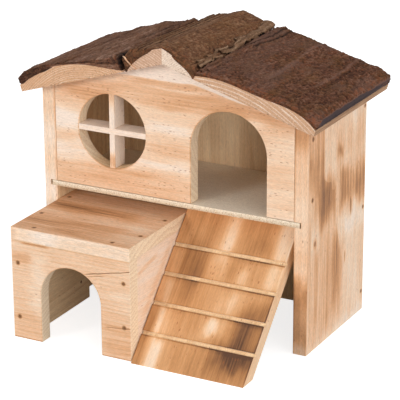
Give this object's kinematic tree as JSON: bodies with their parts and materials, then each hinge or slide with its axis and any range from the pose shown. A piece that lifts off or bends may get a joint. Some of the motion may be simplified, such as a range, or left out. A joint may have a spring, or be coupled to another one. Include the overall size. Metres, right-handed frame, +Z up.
{
  "type": "hamster house",
  "caption": "Two-storey wooden house for a small rodent, with a bark roof, an arched doorway over a ramp, a round window with a cross, a low annex and a slide-out floor.",
  "frame": {"origin": "on the ground, under the middle of the whole object's box", "axes": "+X to the right along the front, +Y from the front to the back, +Z up"},
  "size_m": [0.2058, 0.1546, 0.1865],
  "materials": {
    "pine": "planed and sanded pine, bare, flamed brown in places",
    "log_wood": "sawn log wood, bare",
    "bark": "rough dry bark, matt",
    "plywood": "bare plywood with open edges",
    "nail_steel": "dull bare steel"
  },
  "bodies": {
    "house": {"left_wall": "pine", "right_wall": "pine", "front_panel": "pine", "back_panel": "pine", "annex_front": "pine", "annex_left_side": "pine", "annex_right_side": "pine", "annex_top": "pine", "ramp_board": "pine", "window_bar_vertical": "pine", "window_bar_horizontal": "pine", "roof_slab_left": "log_wood", "roof_slab_ridge_left": "log_wood", "roof_slab_ridge_right": "log_wood", "roof_slab_right": "log_wood", "roof_bark_left": "bark", "roof_bark_ridge_left": "bark", "roof_bark_ridge_right": "bark", "roof_bark_right": "bark", "wall_brads_left": "nail_steel", "wall_brads_right": "nail_steel", "annex_top_brads": "nail_steel", "annex_front_brads": "nail_steel", "annex_anchor_brads": "nail_steel", "ramp_brads": "nail_steel", "roof_nails": "nail_steel"},
    "floor": {"floor_plate": "plywood"}
  },
  "joints": [
    {"name": "floor_slide", "type": "slide", "parent": "house", "child": "floor", "axis": [0, -1, 0], "range_m": [0, 0.075]}
  ]
}
